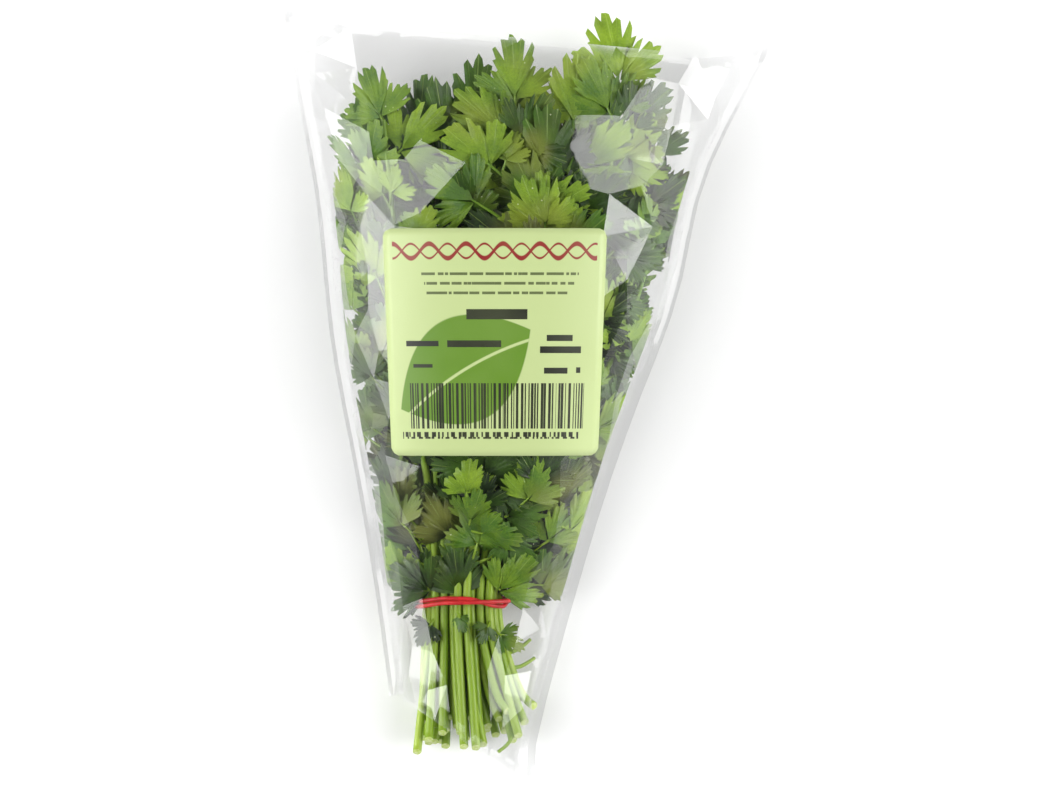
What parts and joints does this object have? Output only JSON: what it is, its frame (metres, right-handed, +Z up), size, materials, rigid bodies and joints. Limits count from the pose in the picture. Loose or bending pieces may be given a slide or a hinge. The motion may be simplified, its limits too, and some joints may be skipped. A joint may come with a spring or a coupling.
{
  "type": "parsley bunch",
  "caption": "Bunch of flat-leaf parsley tied with a rubber band, lying in a clear tapered film sleeve with a paper label.",
  "frame": {"origin": "centre of the underside of the bounding box, on the surface the bunch lies on", "axes": "+Y along the bunch from the cut stems to the leaf tips, +Z up through the labelled front panel, +X to the right as seen from above with the leaves away"},
  "size_m": [0.1725, 0.2748, 0.054],
  "materials": {
    "leaf": "soft satin green leaf and stalk",
    "film": "clear glossy film",
    "paper": "smooth coated label paper",
    "rubber": "smooth red rubber"
  },
  "bodies": {
    "root": {"label": "paper", "rubber_band": "rubber", "sleeve": "film", "sprig_01": "leaf", "sprig_02": "leaf", "sprig_03": "leaf", "sprig_04": "leaf", "sprig_05": "leaf", "sprig_06": "leaf", "sprig_07": "leaf", "sprig_08": "leaf", "sprig_09": "leaf", "sprig_10": "leaf", "sprig_11": "leaf", "sprig_12": "leaf", "sprig_13": "leaf", "sprig_14": "leaf", "sprig_15": "leaf", "sprig_16": "leaf", "sprig_17": "leaf", "sprig_18": "leaf", "sprig_19": "leaf", "sprig_20": "leaf", "sprig_21": "leaf", "sprig_22": "leaf", "sprig_23": "leaf", "sprig_24": "leaf", "sprig_25": "leaf", "sprig_26": "leaf", "sprig_27": "leaf", "sprig_28": "leaf", "sprig_29": "leaf", "sprig_30": "leaf", "sprig_31": "leaf", "sprig_32": "leaf", "sprig_33": "leaf", "sprig_34": "leaf", "sprig_35": "leaf", "sprig_36": "leaf", "sprig_37": "leaf", "sprig_38": "leaf", "sprig_39": "leaf", "sprig_40": "leaf", "sprig_41": "leaf", "sprig_42": "leaf", "sprig_43": "leaf"}
  },
  "joints": []
}
